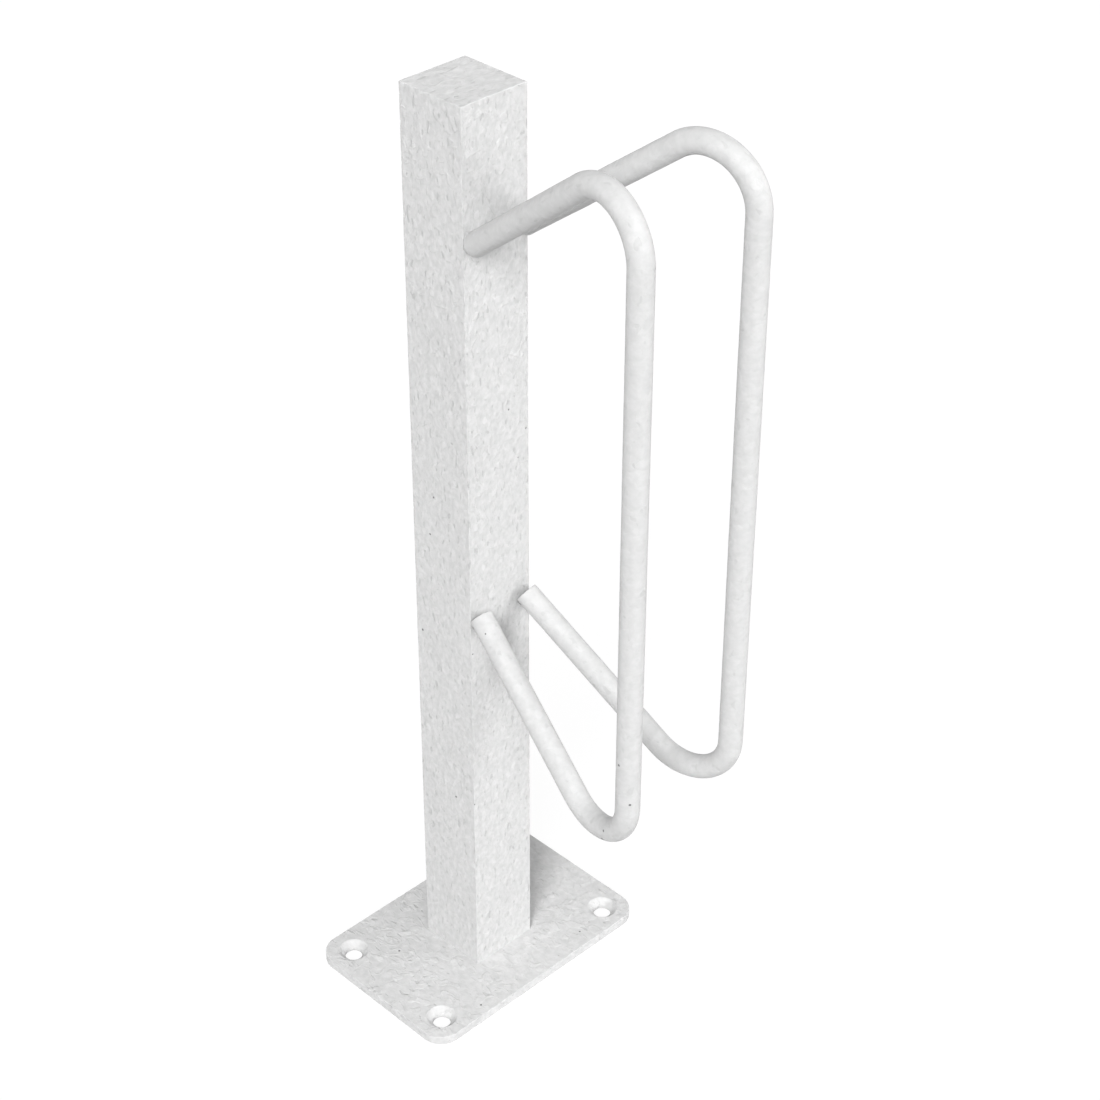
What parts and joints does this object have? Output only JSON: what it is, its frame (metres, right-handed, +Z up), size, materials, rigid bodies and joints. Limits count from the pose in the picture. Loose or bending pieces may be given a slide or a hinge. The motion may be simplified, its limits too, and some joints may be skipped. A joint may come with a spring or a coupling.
{
  "type": "bike parking stand",
  "caption": "Square steel post on a countersunk base plate, with bent round-bar hoops that splay apart to take a bicycle wheel between them, all welded and galvanised.",
  "frame": {"origin": "centre of the base plate's underside, on the axis of the post", "axes": "+X the way the hoops reach out from the post, +Y towards the right hoop, +Z up along the post"},
  "size_m": [0.2988, 0.225, 0.769],
  "materials": {
    "zinc_plate": "hot-dip galvanised, pale matt grey",
    "zinc_tube": "hot-dip galvanised, pale grey with faint mottling",
    "zinc_bar": "hot-dip galvanised, brighter, with faint wrinkles round the bar",
    "zinc_weld": "weld metal under the zinc, slightly uneven"
  },
  "bodies": {
    "root": {"base_plate": "zinc_plate", "foot_weld": "zinc_weld", "post_tube": "zinc_tube", "top_plate": "zinc_tube", "top_weld": "zinc_tube", "left_hoop": "zinc_bar", "right_hoop": "zinc_bar", "left_upper_weld": "zinc_weld", "left_lower_weld": "zinc_weld", "right_upper_weld": "zinc_weld", "right_lower_weld": "zinc_weld"}
  },
  "joints": []
}
